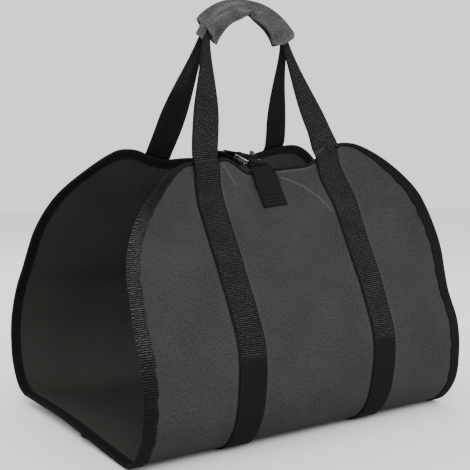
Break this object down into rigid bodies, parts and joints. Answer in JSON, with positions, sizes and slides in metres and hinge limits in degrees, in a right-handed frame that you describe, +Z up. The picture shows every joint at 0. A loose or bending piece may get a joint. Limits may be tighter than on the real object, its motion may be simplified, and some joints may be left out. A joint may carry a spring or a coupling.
{
  "type": "firewood carrier bag",
  "caption": "Open-ended canvas sling for firewood with bound edges, webbing loops that meet in a padded wrap grip, and a strap closure folded through a dark ring.",
  "frame": {"origin": "middle of the whole carrier's footprint, on the floor under the webbing", "axes": "+X along the cradle from its left open end to its right one, -Y out of the front panel, +Z up to the grip"},
  "size_m": [0.4628, 0.3829, 0.5207],
  "materials": {
    "canvas": "matt charcoal canvas, darker coated inner face",
    "tape": "matt black woven tape",
    "webbing": "matt black ribbed webbing",
    "grip_cloth": "matt grey padded canvas",
    "ring": "glossy black coat",
    "tab": "matt light grey tape"
  },
  "bodies": {
    "root": {"canvas_body": "canvas", "edge_binding": "tape", "webbing_front": "webbing", "webbing_back": "webbing", "grip_wrap": "grip_cloth", "grip_tab": "grip_cloth", "closure_strap_front": "webbing", "closure_strap_back": "webbing", "closure_ring": "ring", "closure_tab": "tab"}
  },
  "joints": []
}
